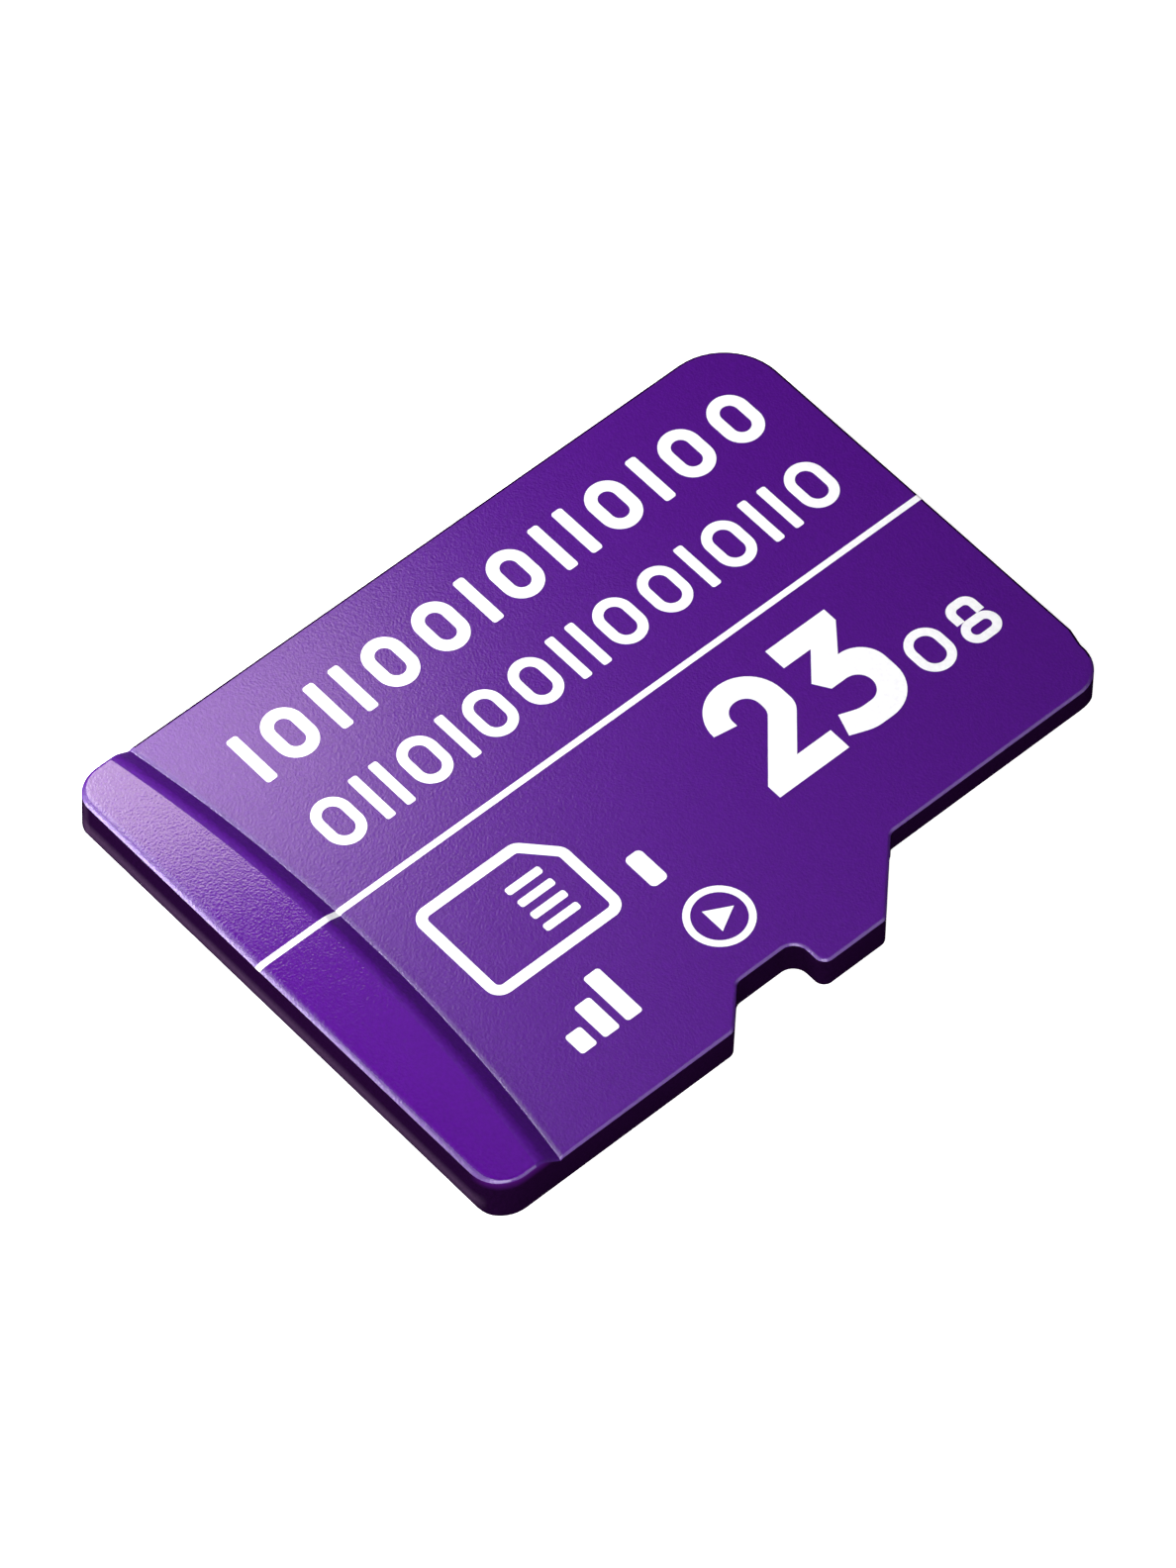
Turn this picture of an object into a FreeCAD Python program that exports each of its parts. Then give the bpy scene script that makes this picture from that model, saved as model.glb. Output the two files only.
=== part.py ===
import FreeCAD, Part
import math
import os
import Sketcher

# Memory card, millimetres. +X is the notched side, +Y the contact end, +Z up through the printed face.
# The origin is at the middle of the underside. Every size below is a cell of the sheet, and every
# feature is bound to those cells.

SIZES = {
    # outline, with the places along it measured back from the contact end
    "card_width": 11.0,
    "card_length": 15.0,
    "narrow_step": 1.25,
    "shoulder_place": 6.4,
    "notch_place": 7.8,
    "notch_length": 1.3,
    "notch_depth": 0.7,
    "corner_round": 0.65,
    "front_round": 1.2,
    "narrow_round": 0.7,
    "notch_round": 0.2,
    "heel_round": 0.3,
    "relief_flat": 0.05,
    "relief_run": 0.35,
    "relief_depth": 0.09,
    # moulding
    "lip_height": 1.0,
    "face_height": 0.7,
    "edge_round": 0.06,
    "lip_arc": 33.0,
    "lip_depth": 1.86,
    "slope_run": 0.6,
    "crest_round": 0.6,
    "gutter_depth": 0.03,
    "rear_round": 0.15,
    # board and contacts
    "board_thickness": 0.2,
    "lead_chamfer": 0.17,
    "contact_pitch": 1.1,
    "contact_width": 0.8,
    "contact_rear": 3.7,
    "contact_front": 0.82,
    "contact_front_long": 0.52,
    "contact_round": 0.12,
    "contact_recess": 0.02,
    "contact_thickness": 0.05,
    # silicon, with the flash dies placed by their margins to the card's sides
    "film_thickness": 0.03,
    "die_thickness": 0.08,
    "flash_left_margin": 1.0,
    "flash_right_margin": 1.6,
    "flash_front_margin": 5.25,
    "flash_rear_margin": 1.3,
    "flash_step": 0.45,
    "controller_width": 3.4,
    "controller_length": 2.2,
    "controller_front_margin": 2.0,
    # capacitors, in a row beside the controller
    "capacitor_length": 0.6,
    "capacitor_width": 0.3,
    "capacitor_height": 0.3,
    "capacitor_gap": 1.2,
    "capacitor_pitch": 0.8,
    # bond wires
    "wire_size": 0.03,
    "wire_rise": 0.08,
    "wire_inset": 0.12,
    "wire_reach": 0.4,
    "flash_wire_pitch": 0.9,
    "controller_wire_pitch": 0.5,
}

CONTACTS = 8
LONG_CONTACTS = (4, 6)
CAPACITORS = 4
FLASH_WIRES = 8
CONTROLLER_WIRES = 6

doc = FreeCAD.newDocument("memory_card")
sheet = doc.addObject("Spreadsheet::Sheet", "Sizes")
for row, alias in enumerate(SIZES, 1):
    sheet.set("A%d" % row, alias)
    sheet.set("B%d" % row, str(SIZES[alias]))
    sheet.setAlias("B%d" % row, alias)
doc.recompute()

nodes = {}

# Places that several pieces share, as weighted sums of sizes.
LEFT = [(-0.5, "card_width")]
RIGHT = [(0.5, "card_width")]
REAR = [(-0.5, "card_length")]
FRONT = [(0.5, "card_length")]
NARROW = RIGHT + [(-1, "narrow_step")]
NARROW_MIDDLE = [(-0.5, "narrow_step")]
SHOULDER = FRONT + [(-1, "shoulder_place")]
SHOULDER_END = SHOULDER + [(1, "narrow_step")]
BOARD_REAR = REAR + [(1, "corner_round")]
BOARD_TOP = [(1, "board_thickness")]
LIP_FOOT = REAR + [(1, "lip_depth")]
LIP_AXIS = LIP_FOOT + [(-1, "lip_arc")]
FLASH_LEFT = LEFT + [(1, "flash_left_margin")]
FLASH_WIDTH = [(1, "card_width"), (-1, "flash_left_margin"), (-1, "flash_right_margin")]
FLASH_MIDDLE = [(0.5, "flash_left_margin"), (-0.5, "flash_right_margin")]
FLASH_FRONT = FRONT + [(-1, "flash_front_margin")]
FLASH_LENGTH = [
    (1, "card_length"), (-1, "flash_front_margin"), (-1, "flash_rear_margin"), (-1, "flash_step"),
]
CONTROLLER_FRONT = FRONT + [(-1, "controller_front_margin")]
CONTROLLER_REAR = CONTROLLER_FRONT + [(-1, "controller_length")]
CONTROLLER_LEFT = NARROW_MIDDLE + [(-0.5, "controller_width")]
CAPACITOR_LEFT = NARROW_MIDDLE + [(0.5, "controller_width"), (1, "capacitor_gap")]


def size(*terms):
    """A weighted sum of sheet cells, as the expression that binds it and as its present value."""
    expression = " + ".join("%.6g * Sizes.%s" % (factor, alias) for factor, alias in terms)
    value = sum(factor * SIZES[alias] for factor, alias in terms)
    return expression.replace("+ -", "- "), value


def bind(target, path, amount):
    target.setExpression(path, amount[0])


def new_body(name):
    body = doc.addObject("PartDesign::Body", name)
    body.Label = name
    return body


def new_sketch(body, name, role, offset_axis="z", offset=None):
    """A sketch on one of the body's own origin planes, moved along one of its axes if asked."""
    sketch = body.newObject("Sketcher::SketchObject", name)
    plane = [feature for feature in body.Origin.OriginFeatures if feature.Role == role][0]
    sketch.AttachmentSupport = [(plane, "")]
    sketch.MapMode = "FlatFace"
    if offset:
        bind(sketch, "AttachmentOffset.Base.%s" % offset_axis, offset)
    return sketch


def fix(sketch, geometry, point, axis, amount):
    """Ties one coordinate of a sketch point to the sheet."""
    number = sketch.addConstraint(Sketcher.Constraint("Distance" + axis, -1, 1, geometry, point, amount[1]))
    sketch.setExpression("Constraints[%d]" % number, amount[0])


def polygon(sketch, corners):
    """Closed run of straight sides, each corner tied to the sheet."""
    count = len(corners)
    places = [FreeCAD.Vector(x[1], y[1], 0) for x, y in corners]
    for side in range(count):
        sketch.addGeometry(Part.LineSegment(places[side], places[(side + 1) % count]), False)
    for side in range(count):
        sketch.addConstraint(Sketcher.Constraint("Coincident", side, 2, (side + 1) % count, 1))
    for side, (x, y) in enumerate(corners):
        fix(sketch, side, 1, "X", x)
        fix(sketch, side, 1, "Y", y)


def rounded_rectangle(sketch, left, right, rear, front, radius):
    """Four sides and four corner arcs that share one radius."""
    x0, x1, y0, y1, r = left[1], right[1], rear[1], front[1], radius[1]
    flat = FreeCAD.Vector
    sides = [
        (flat(x0 + r, y0, 0), flat(x1 - r, y0, 0)),
        (flat(x1, y0 + r, 0), flat(x1, y1 - r, 0)),
        (flat(x1 - r, y1, 0), flat(x0 + r, y1, 0)),
        (flat(x0, y1 - r, 0), flat(x0, y0 + r, 0)),
    ]
    turns = [(x1 - r, y0 + r), (x1 - r, y1 - r), (x0 + r, y1 - r), (x0 + r, y0 + r)]
    centres = [flat(x, y, 0) for x, y in turns]
    for start, end in sides:
        sketch.addGeometry(Part.LineSegment(start, end), False)
    for corner, centre in enumerate(centres):
        turn = math.pi / 2 * (corner - 1)
        circle = Part.Circle(centre, flat(0, 0, 1), r)
        sketch.addGeometry(Part.ArcOfCircle(circle, turn, turn + math.pi / 2), False)
    for corner in range(4):
        arc = 4 + corner
        sketch.addConstraint(Sketcher.Constraint("Tangent", corner, 2, arc, 1))
        sketch.addConstraint(Sketcher.Constraint("Tangent", arc, 2, (corner + 1) % 4, 1))
    for arc in (5, 6, 7):
        sketch.addConstraint(Sketcher.Constraint("Equal", 4, arc))
    sketch.addConstraint(Sketcher.Constraint("Horizontal", 0))
    sketch.addConstraint(Sketcher.Constraint("Vertical", 1))
    number = sketch.addConstraint(Sketcher.Constraint("Radius", 4, r))
    sketch.setExpression("Constraints[%d]" % number, radius[0])
    fix(sketch, 0, 1, "Y", rear)
    fix(sketch, 1, 1, "X", right)
    fix(sketch, 2, 1, "Y", front)
    fix(sketch, 3, 1, "X", left)


def pad(body, sketch, name, length):
    feature = body.newObject("PartDesign::Pad", name)
    feature.Profile = sketch
    bind(feature, "Length", length)
    doc.recompute()


def pocket(body, sketch, name, length, reverse):
    """A cut that must take material away, whichever side of the sketch it lies on."""
    before = body.Shape.Volume
    feature = body.newObject("PartDesign::Pocket", name)
    feature.Profile = sketch
    feature.Reversed = reverse
    bind(feature, "Length", length)
    doc.recompute()
    if body.Shape.Volume > before - 1e-6:
        raise RuntimeError("%s removes nothing" % name)
    return feature


def groove(body, sketch, name):
    """A cut turned once round the sketch's upright axis."""
    before = body.Shape.Volume
    feature = body.newObject("PartDesign::Groove", name)
    feature.Profile = sketch
    feature.ReferenceAxis = (sketch, ["V_Axis"])
    doc.recompute()
    if body.Shape.Volume > before - 1e-6:
        raise RuntimeError("%s removes nothing" % name)


def fillet(body, name, test, radius):
    """Rounds every edge of the body's tip that passes the test."""
    tip = body.Tip
    names = ["Edge%d" % number for number, edge in enumerate(tip.Shape.Edges, 1) if test(edge)]
    feature = body.newObject("PartDesign::Fillet", name)
    feature.Base = (tip, names)
    bind(feature, "Radius", radius)
    doc.recompute()


def upright_at(places):
    """Test for upright edges standing on any of the given plan points."""
    def test(edge):
        low, high = edge.Vertexes[0].Point, edge.Vertexes[-1].Point
        if math.hypot(high.x - low.x, high.y - low.y) > 1e-4:
            return False
        return any(math.hypot(low.x - x[1], low.y - y[1]) < 1e-4 for x, y in places)
    return test


def level_at(height, keep):
    """Test for edges that lie wholly at one height and pass a further test of their middle."""
    def test(edge):
        box = edge.BoundBox
        if abs(box.ZMin - height) > 1e-4 or abs(box.ZMax - height) > 1e-4:
            return False
        return keep(edge.CenterOfMass)
    return test


def outline_body(name, bottom, thickness, with_rear):
    """A slab with the card's plan. Without its rear it stops where the rear corners begin to turn."""
    rear = size(*(REAR if with_rear else BOARD_REAR))
    right = size(*RIGHT)
    narrow = size(*NARROW)
    floor = size(*(RIGHT + [(-1, "notch_depth")]))
    notch_front = FRONT + [(-1, "notch_place")]
    notch_rear = notch_front + [(-1, "notch_length")]
    relief = size(*(FRONT + [(-1, "relief_depth")]))
    relief_end = NARROW + [(-1, "narrow_round"), (-1, "relief_flat")]
    relief_start = relief_end + [(-1, "relief_run")]
    rear_left = (size(*LEFT), rear)
    rear_right = (right, rear)
    front_left = (size(*LEFT), size(*FRONT))
    narrow_corner = (narrow, relief)
    heel = (floor, size(*notch_front))
    eased = [
        (right, size(*(notch_rear + [(-1, "notch_depth")]))),
        (floor, size(*notch_rear)),
        (right, size(*notch_front)),
        (right, size(*SHOULDER)),
        (narrow, size(*SHOULDER_END)),
    ]
    corners = [rear_left, rear_right, eased[0], eased[1], heel, eased[2], eased[3], eased[4], narrow_corner]
    corners += [(size(*relief_end), relief), (size(*relief_start), size(*FRONT)), front_left]
    body = new_body(name)
    sketch = new_sketch(body, name + "_plan", "XY_Plane", "z", bottom)
    polygon(sketch, corners)
    pad(body, sketch, name + "_slab", thickness)
    if with_rear:
        fillet(body, name + "_rear_corners", upright_at([rear_left, rear_right]), size((1, "corner_round")))
    fillet(body, name + "_front_corner", upright_at([front_left]), size((1, "front_round")))
    fillet(body, name + "_narrow_corner", upright_at([narrow_corner]), size((1, "narrow_round")))
    fillet(body, name + "_notch_heel", upright_at([heel]), size((1, "heel_round")))
    fillet(body, name + "_eased", upright_at(eased), size((1, "notch_round")))
    return body


def box(name, corner, spread):
    """A block by its low corner and its spread along X, Y and Z."""
    piece = doc.addObject("Part::Box", name)
    piece.Label = name
    for path, amount in zip(("Length", "Width", "Height"), spread):
        bind(piece, path, size(*amount))
    for axis, amount in zip("xyz", corner):
        bind(piece, "Placement.Base." + axis, size(*amount))
    nodes[name] = piece


def wire(name, across, edge, knee, landing, top):
    """A square bond wire: up from a die, over its edge and down to the board."""
    thick = (1, "wire_size")
    crest = top + [(1, "wire_rise")]
    start = edge + [(-1, "wire_inset")]
    path = [
        (start, top),
        (start + [thick], top),
        (start + [thick], crest + [(-1, "wire_size")]),
        (knee, crest + [(-1, "wire_size")]),
        (landing, BOARD_TOP),
        (landing + [(2, "wire_size")], BOARD_TOP),
        (knee + [thick], crest),
        (start, crest),
    ]
    body = new_body(name)
    sketch = new_sketch(body, name + "_loop", "YZ_Plane")
    polygon(sketch, [(size(*y), size(*z)) for y, z in path])
    pad(body, sketch, name + "_strip", size(thick))
    bind(body, "Placement.Base.x", size(*across))
    nodes[name] = body


# Board: full outline up to the rear corners, lead-in chamfers under the contact end, eight contact beds.
board = outline_body("substrate_board", None, size((1, "board_thickness")), False)


def lead_cut(name, role, offset, edge, length, reverse):
    """A three-cornered cut along one straight bottom edge of the board."""
    sketch = new_sketch(board, name + "_section", role, "z", size(*offset))
    level = size((0, "lead_chamfer"))
    rise = size((1, "lead_chamfer"))
    outer = size(*edge)
    polygon(sketch, [(outer, level), (outer, rise), (size(*(edge + [(-1, "lead_chamfer")])), level)])
    pocket(board, sketch, name, size(*length), reverse)


narrow_run = FRONT + [(-factor, alias) for factor, alias in SHOULDER_END]
lead_cut("front_lead", "YZ_Plane", RIGHT, FRONT, [(1, "card_width")], False)
lead_cut("narrow_lead", "XZ_Plane", REAR, NARROW, narrow_run, True)


def contact_plan(sketch, middle, front_alias):
    left = size(*(middle + [(-0.5, "contact_width")]))
    right = size(*(middle + [(0.5, "contact_width")]))
    rear = size(*(FRONT + [(-1, "contact_rear")]))
    front = size(*(FRONT + [(-1, front_alias)]))
    rounded_rectangle(sketch, left, right, rear, front, size((1, "contact_round")))


def contact_place(number):
    return NARROW_MIDDLE + [((CONTACTS + 1) / 2 - number, "contact_pitch")]


def contact_beds(name, number, front_alias, count, steps):
    """One bed cut up into the board and repeated along the contact row."""
    sketch = new_sketch(board, name + "_plan", "XY_Plane")
    contact_plan(sketch, contact_place(number), front_alias)
    bed = pocket(board, sketch, name, size((1, "contact_recess"), (1, "contact_thickness")), True)
    row = board.newObject("PartDesign::LinearPattern", name + "_row")
    row.Originals = [bed]
    row.Direction = (sketch, ["H_Axis"])
    bind(row, "Length", size((steps, "contact_pitch")))
    row.Occurrences = count
    board.Tip = row
    doc.recompute()


contact_beds("short_beds", CONTACTS, "contact_front", CONTACTS, CONTACTS - 1)
long_span = LONG_CONTACTS[1] - LONG_CONTACTS[0]
contact_beds("long_beds", LONG_CONTACTS[1], "contact_front_long", len(LONG_CONTACTS), long_span)
nodes["substrate_board"] = board

# Contacts: numbered from the notched side.
for number in range(1, CONTACTS + 1):
    name = "contact_%d" % number
    contact = new_body(name)
    plan = new_sketch(contact, name + "_plan", "XY_Plane", "z", size((1, "contact_recess")))
    front_alias = "contact_front_long" if number in LONG_CONTACTS else "contact_front"
    contact_plan(plan, [], front_alias)
    pad(contact, plan, name + "_plate", size((1, "contact_thickness")))
    bind(contact, "Placement.Base.x", size(*contact_place(number)))
    nodes[name] = contact

# Silicon: two flash dies stepped back so that both bond rows stay open, and the controller ahead of them.
level = BOARD_TOP
flash_edge = {}
for step, tier in enumerate(("lower", "upper")):
    edge = FLASH_FRONT + [(-step, "flash_step")]
    back = edge + [(-factor, alias) for factor, alias in FLASH_LENGTH]
    for piece, layer in (("film", "film_thickness"), ("die", "die_thickness")):
        spread = (FLASH_WIDTH, FLASH_LENGTH, [(1, layer)])
        box("flash_%s_%s" % (piece, tier), (FLASH_LEFT, back, level), spread)
        level = level + [(1, layer)]
    flash_edge[tier] = (edge, level)

level = BOARD_TOP
controller_plan = ([(1, "controller_width")], [(1, "controller_length")])
for piece, layer in (("film", "film_thickness"), ("die", "die_thickness")):
    box("controller_" + piece, (CONTROLLER_LEFT, CONTROLLER_REAR, level), controller_plan + ([(1, layer)],))
    level = level + [(1, layer)]
controller_top = level

capacitor_spread = ([(1, "capacitor_length")], [(1, "capacitor_width")], [(1, "capacitor_height")])
for number in range(1, CAPACITORS + 1):
    row_place = CONTROLLER_REAR + [(number - 1, "capacitor_pitch")]
    box("capacitor_%d" % number, (CAPACITOR_LEFT, row_place, BOARD_TOP), capacitor_spread)

# Bond wires: odd ones leave the upper flash die and even ones the lower, all landing in one row.
for number in range(1, FLASH_WIRES + 1):
    across = FLASH_MIDDLE + [(number - (FLASH_WIRES + 1) / 2, "flash_wire_pitch")]
    edge, top = flash_edge["upper" if number % 2 else "lower"]
    knee = FLASH_FRONT + ([(-1, "wire_inset")] if number % 2 else [(1, "wire_size")])
    wire("flash_wire_%d" % number, across, edge, knee, FLASH_FRONT + [(1, "wire_reach")], top)

for number in range(1, CONTROLLER_WIRES + 1):
    across = NARROW_MIDDLE + [(number - (CONTROLLER_WIRES + 1) / 2, "controller_wire_pitch")]
    knee = CONTROLLER_FRONT + [(1, "wire_size")]
    landing = CONTROLLER_FRONT + [(1, "wire_reach")]
    wire("controller_wire_%d" % number, across, CONTROLLER_FRONT, knee, landing, controller_top)
doc.recompute()
inner = list(nodes.values())

# Moulding: a slab under the printed face, and a taller rear part that is cut back to the finger lip.
face_rise = size((1, "face_height"), (-1, "board_thickness"))
face = outline_body("face_slab", size(*BOARD_TOP), face_rise, False)
slab_rear = size(*BOARD_REAR)[1]
face_rim = level_at(SIZES["face_height"], lambda middle: middle.y > slab_rear + 1e-3)
fillet(face, "face_edges", face_rim, size((1, "edge_round")))
gutter = new_sketch(face, "gutter_section", "YZ_Plane", "x", size(*LIP_AXIS))
gutter_inside = size((1, "lip_arc"), (-1, "gutter_depth"))
gutter_outside = size((1, "lip_arc"), (1, "gutter_depth"))
gutter_low = size((1, "face_height"), (-1, "gutter_depth"))
polygon(gutter, [
    (gutter_inside, gutter_low),
    (size((1, "lip_arc")), gutter_low),
    (gutter_outside, size((1, "face_height"))),
    (gutter_outside, size((1, "lip_height"))),
    (gutter_inside, size((1, "lip_height"))),
])
groove(face, gutter, "gutter")

rear = outline_body("lip_block", None, size((1, "lip_height")), True)
fillet(rear, "lip_edges", level_at(SIZES["lip_height"], lambda middle: True), size((1, "edge_round")))

# The section of the cut is drawn on the middle plane, measured from the upright axis of the lip's arc.
section = new_sketch(rear, "lip_section", "YZ_Plane", "x", size(*LIP_AXIS))
foot_x, crest_x = SIZES["lip_arc"], SIZES["lip_arc"] - SIZES["slope_run"]
foot_z, top_z = SIZES["face_height"] - SIZES["gutter_depth"], SIZES["lip_height"]
crest_r = SIZES["crest_round"]
tilt = math.atan2(top_z - foot_z, SIZES["slope_run"]) * 1.2
joint = FreeCAD.Vector(crest_x + crest_r * math.sin(tilt), top_z - crest_r + crest_r * math.cos(tilt), 0)
outer_x = foot_x + SIZES["card_length"]
over_z, under_z = top_z * 1.5, -top_z
section_corners = [(crest_x, top_z), (crest_x, over_z), (outer_x, over_z), (outer_x, under_z)]
section_corners += [(foot_x, under_z), (foot_x, foot_z)]
section_points = [FreeCAD.Vector(x, z, 0) for x, z in section_corners]
for start, end in zip(section_points, section_points[1:] + [joint]):
    section.addGeometry(Part.LineSegment(start, end), False)
crest_circle = Part.Circle(FreeCAD.Vector(crest_x, top_z - crest_r, 0), FreeCAD.Vector(0, 0, 1), crest_r)
section.addGeometry(Part.ArcOfCircle(crest_circle, math.pi / 2 - tilt, math.pi / 2), False)
for side in range(5):
    section.addConstraint(Sketcher.Constraint("Coincident", side, 2, side + 1, 1))
section.addConstraint(Sketcher.Constraint("Tangent", 5, 2, 6, 1))
section.addConstraint(Sketcher.Constraint("Coincident", 6, 2, 0, 1))
for side, kind in enumerate(("Vertical", "Horizontal", "Vertical", "Horizontal", "Vertical")):
    section.addConstraint(Sketcher.Constraint(kind, side))
section.addConstraint(Sketcher.Constraint("PointOnObject", 6, 3, 0))
number = section.addConstraint(Sketcher.Constraint("Radius", 6, crest_r))
section.setExpression("Constraints[%d]" % number, size((1, "crest_round"))[0])
fix(section, 0, 1, "X", size((1, "lip_arc"), (-1, "slope_run")))
fix(section, 0, 1, "Y", size((1, "lip_height")))
fix(section, 2, 1, "X", size((1, "lip_arc"), (1, "card_length")))
fix(section, 2, 1, "Y", size((1.5, "lip_height")))
fix(section, 4, 1, "Y", size((-1, "lip_height")))
fix(section, 5, 1, "X", size((1, "lip_arc")))
fix(section, 5, 1, "Y", size((1, "face_height"), (-1, "gutter_depth")))
groove(rear, section, "lip_cut")

# Round under the rear edge, cut straight across the card.
heel = new_sketch(rear, "rear_round_section", "YZ_Plane", "z", size((1, "card_width")))
wall_y, heel_r = -SIZES["card_length"] / 2, SIZES["rear_round"]
heel_circle = Part.Circle(FreeCAD.Vector(wall_y + heel_r, heel_r, 0), FreeCAD.Vector(0, 0, 1), heel_r)
heel.addGeometry(Part.ArcOfCircle(heel_circle, math.pi, 1.5 * math.pi), False)
heel_corner = FreeCAD.Vector(wall_y, 0, 0)
heel.addGeometry(Part.LineSegment(FreeCAD.Vector(wall_y + heel_r, 0, 0), heel_corner), False)
heel.addGeometry(Part.LineSegment(heel_corner, FreeCAD.Vector(wall_y, heel_r, 0)), False)
heel.addConstraint(Sketcher.Constraint("Tangent", 0, 2, 1, 1))
heel.addConstraint(Sketcher.Constraint("Coincident", 1, 2, 2, 1))
heel.addConstraint(Sketcher.Constraint("Tangent", 2, 2, 0, 1))
heel.addConstraint(Sketcher.Constraint("Horizontal", 1))
heel.addConstraint(Sketcher.Constraint("Vertical", 2))
number = heel.addConstraint(Sketcher.Constraint("Radius", 0, heel_r))
heel.setExpression("Constraints[%d]" % number, size((1, "rear_round"))[0])
fix(heel, 2, 1, "X", size(*REAR))
heel.addConstraint(Sketcher.Constraint("PointOnObject", 2, 1, -1))
pocket(rear, heel, "rear_round", size((2, "card_width")), False)

blank = doc.addObject("Part::Fuse", "moulding_blank")
blank.Base = face
blank.Tool = rear
blank.Refine = True
contents = doc.addObject("Part::MultiFuse", "contents")
contents.Shapes = inner
body = doc.addObject("Part::Cut", "moulded_body")
body.Label = "moulded_body"
body.Base = blank
body.Tool = contents
body.Refine = True
body.Placement = FreeCAD.Placement()
nodes["moulded_body"] = body
doc.recompute()

for feature in doc.Objects:
    faults = [state for state in feature.State if state in ("Invalid", "Error")]
    if faults:
        raise RuntimeError("%s is %s" % (feature.Name, faults))

os.makedirs("parts", exist_ok=True)
for name, piece in nodes.items():
    shape = piece.Shape
    if shape.isNull() or not shape.isValid() or len(shape.Solids) != 1:
        raise RuntimeError("%s has no single valid solid" % name)
    shape.exportStep("parts/%s.step" % name)
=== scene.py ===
import math

import bpy
from mathutils import Matrix, Quaternion, Vector
from mathutils.geometry import delaunay_2d_cdt


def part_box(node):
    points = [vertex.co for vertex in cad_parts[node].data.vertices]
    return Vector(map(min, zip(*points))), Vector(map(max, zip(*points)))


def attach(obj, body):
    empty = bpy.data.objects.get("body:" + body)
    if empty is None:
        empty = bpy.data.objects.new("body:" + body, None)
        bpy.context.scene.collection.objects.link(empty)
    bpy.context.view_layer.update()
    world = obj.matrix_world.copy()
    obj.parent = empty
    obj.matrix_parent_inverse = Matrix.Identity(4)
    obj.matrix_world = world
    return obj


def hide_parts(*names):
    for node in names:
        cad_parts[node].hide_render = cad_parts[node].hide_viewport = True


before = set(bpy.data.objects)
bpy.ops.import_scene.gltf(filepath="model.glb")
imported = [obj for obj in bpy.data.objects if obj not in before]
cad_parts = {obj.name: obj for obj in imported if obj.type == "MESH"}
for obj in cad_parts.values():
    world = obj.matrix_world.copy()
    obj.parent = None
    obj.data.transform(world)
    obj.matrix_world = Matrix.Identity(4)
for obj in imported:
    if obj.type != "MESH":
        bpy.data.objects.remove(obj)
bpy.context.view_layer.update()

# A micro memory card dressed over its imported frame. Lengths are millimetres in the card's own frame,
# +X the notched side, +Y the contact end, +Z up, and are scaled to metres as each piece is made.
MM = 0.001
TINY = 1e-4


def node_box(name):
    """A node's lowest and highest corner in millimetres."""
    low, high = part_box(name)
    return Vector(low) / MM, Vector(high) / MM


# Places read from the frame.
body_low, body_high = node_box("moulded_body")
board_low, board_high = node_box("substrate_board")
LEFT, REAR = body_low.x, body_low.y
RIGHT, FRONT = body_high.x, body_high.y
LIP_TOP = body_high.z
BOARD_TOP = board_high.z
BOARD_REAR = board_low.y

# Outline of the card, with the places along it measured back from the contact end.
NARROW_STEP = 1.25
SHOULDER_PLACE = 6.4
NOTCH_PLACE = 7.8
NOTCH_LENGTH = 1.3
NOTCH_DEPTH = 0.7
CORNER_ROUND = 0.65
FRONT_ROUND = 1.2
NARROW_ROUND = 0.7
NOTCH_ROUND = 0.2
HEEL_ROUND = 0.3
RELIEF_FLAT = 0.05
RELIEF_RUN = 0.35
RELIEF_DEPTH = 0.09
NARROW = RIGHT - NARROW_STEP
SHOULDER = FRONT - SHOULDER_PLACE + NARROW_STEP

# Upper side of the moulding: the lip's slope is swept about an upright axis behind the card.
FACE_TOP = 0.7
LIP_ARC = 33.0
LIP_DEPTH = 1.86
SLOPE_RUN = 0.51
CREST_ROUND = 0.363
GUTTER_DEPTH = 0.03
GUTTER_RUN = 0.06
REAR_ROUND = 0.15
AXIS_Y = REAR + LIP_DEPTH - LIP_ARC

# Rolled upper edge: narrow along the sides, wide and shallow along the rear of the lip.
SIDE_ROLL = 0.06
SIDE_TILT = math.radians(50)
SIDE_POWER = 2
REAR_ROLL = 0.2
REAR_TILT = math.radians(36)
REAR_POWER = 3
ROLL_FADE = 4
LEFT_DRAFT = 0.1
DRAFT_FADE = 2

# Faces of the rolled edge given the dark wall resin as painted shade, a dark rim on the left and front edges:
# how far they tilt, and which way they look.
SHADE_RIM_TILT = math.radians(12)
SHADE_RIM_LEFT = -0.1
SHADE_RIM_FRONT = 0.9

# Fineness of the meshes, and the narrow border that holds the shading of a flat beside a rounding.
ARC_STEP = math.radians(7.5)
EDGE_STEPS = 7
CREST_STEPS = 8
SWEEP_STEPS = 36
SHARP_ANGLE = math.radians(32)
HOLD = 0.03


def closed_pairs(items):
    """Each item of a closed run with the one after it."""
    return zip(items, items[1:] + items[:1])


def mixed(first, second, share):
    """The value that lies a share of the way from the first to the second."""
    return first + (second - first) * share


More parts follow.
